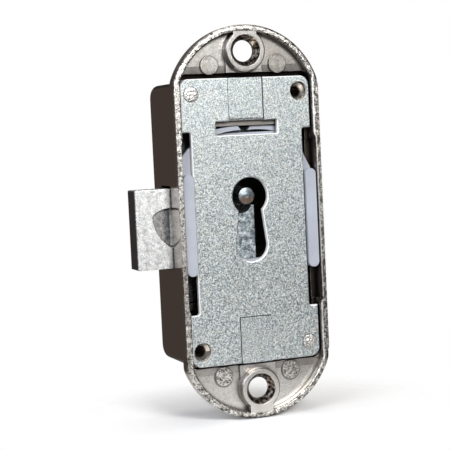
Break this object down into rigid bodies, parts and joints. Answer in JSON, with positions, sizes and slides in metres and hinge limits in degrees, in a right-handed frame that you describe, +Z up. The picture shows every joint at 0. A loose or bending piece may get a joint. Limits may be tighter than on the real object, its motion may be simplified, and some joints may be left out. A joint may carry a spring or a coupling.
{
  "type": "cut cupboard lock",
  "caption": "Lever-tumbler cupboard lock let into a door edge, with a round-ended rim, riveted cover plate, keyhole with drill pin, and a bolt that slides out of one side.",
  "frame": {"origin": "midway between the two screw holes, on the plane of the rim that meets the door", "axes": "-Y faces the door and the key, +Y goes into the cupboard, +Z up along the lock, -X the way that the bolt is thrown"},
  "size_m": [0.0374, 0.0166, 0.0771],
  "materials": {
    "casing": "zinc die casting, bright nickel plated",
    "cover_plate": "pressed steel, zinc plated, faintly speckled",
    "bolt": "zinc die casting, as cast, with a satin plated head",
    "bolt_stump": "drawn steel pin",
    "drill_pin": "turned steel pin",
    "bolt_detent_spring": "rolled spring steel strip",
    "tumbler_1": "moulded acetal, pale lavender grey",
    "tumbler_1_spring_arm": "moulded acetal, pale lavender grey",
    "tumbler_2": "moulded acetal, pale lavender grey",
    "tumbler_2_spring_arm": "moulded acetal, pale lavender grey",
    "tumbler_3": "moulded acetal, pale lavender grey",
    "tumbler_3_spring_arm": "moulded acetal, pale lavender grey"
  },
  "bodies": {
    "case": {"casing": "casing", "cover_plate": "cover_plate", "drill_pin": "drill_pin", "bolt_detent_spring": "bolt_detent_spring"},
    "bolt": {"bolt": "bolt", "bolt_stump": "bolt_stump"},
    "tumbler_1": {"tumbler_1": "tumbler_1", "tumbler_1_spring_arm": "tumbler_1_spring_arm"},
    "tumbler_2": {"tumbler_2": "tumbler_2", "tumbler_2_spring_arm": "tumbler_2_spring_arm"},
    "tumbler_3": {"tumbler_3": "tumbler_3", "tumbler_3_spring_arm": "tumbler_3_spring_arm"}
  },
  "joints": [
    {"name": "bolt_slide", "type": "slide", "parent": "case", "child": "bolt", "axis": [1, 0, 0], "range_m": [0, 0.0075]},
    {"name": "tumbler_1_slide", "type": "slide", "parent": "case", "child": "tumbler_1", "axis": [0, 0, 1], "range_m": [-0.0022, 0]},
    {"name": "tumbler_2_slide", "type": "slide", "parent": "case", "child": "tumbler_2", "axis": [0, 0, 1], "range_m": [-0.0026, 0]},
    {"name": "tumbler_3_slide", "type": "slide", "parent": "case", "child": "tumbler_3", "axis": [0, 0, 1], "range_m": [-0.0018, 0]}
  ]
}
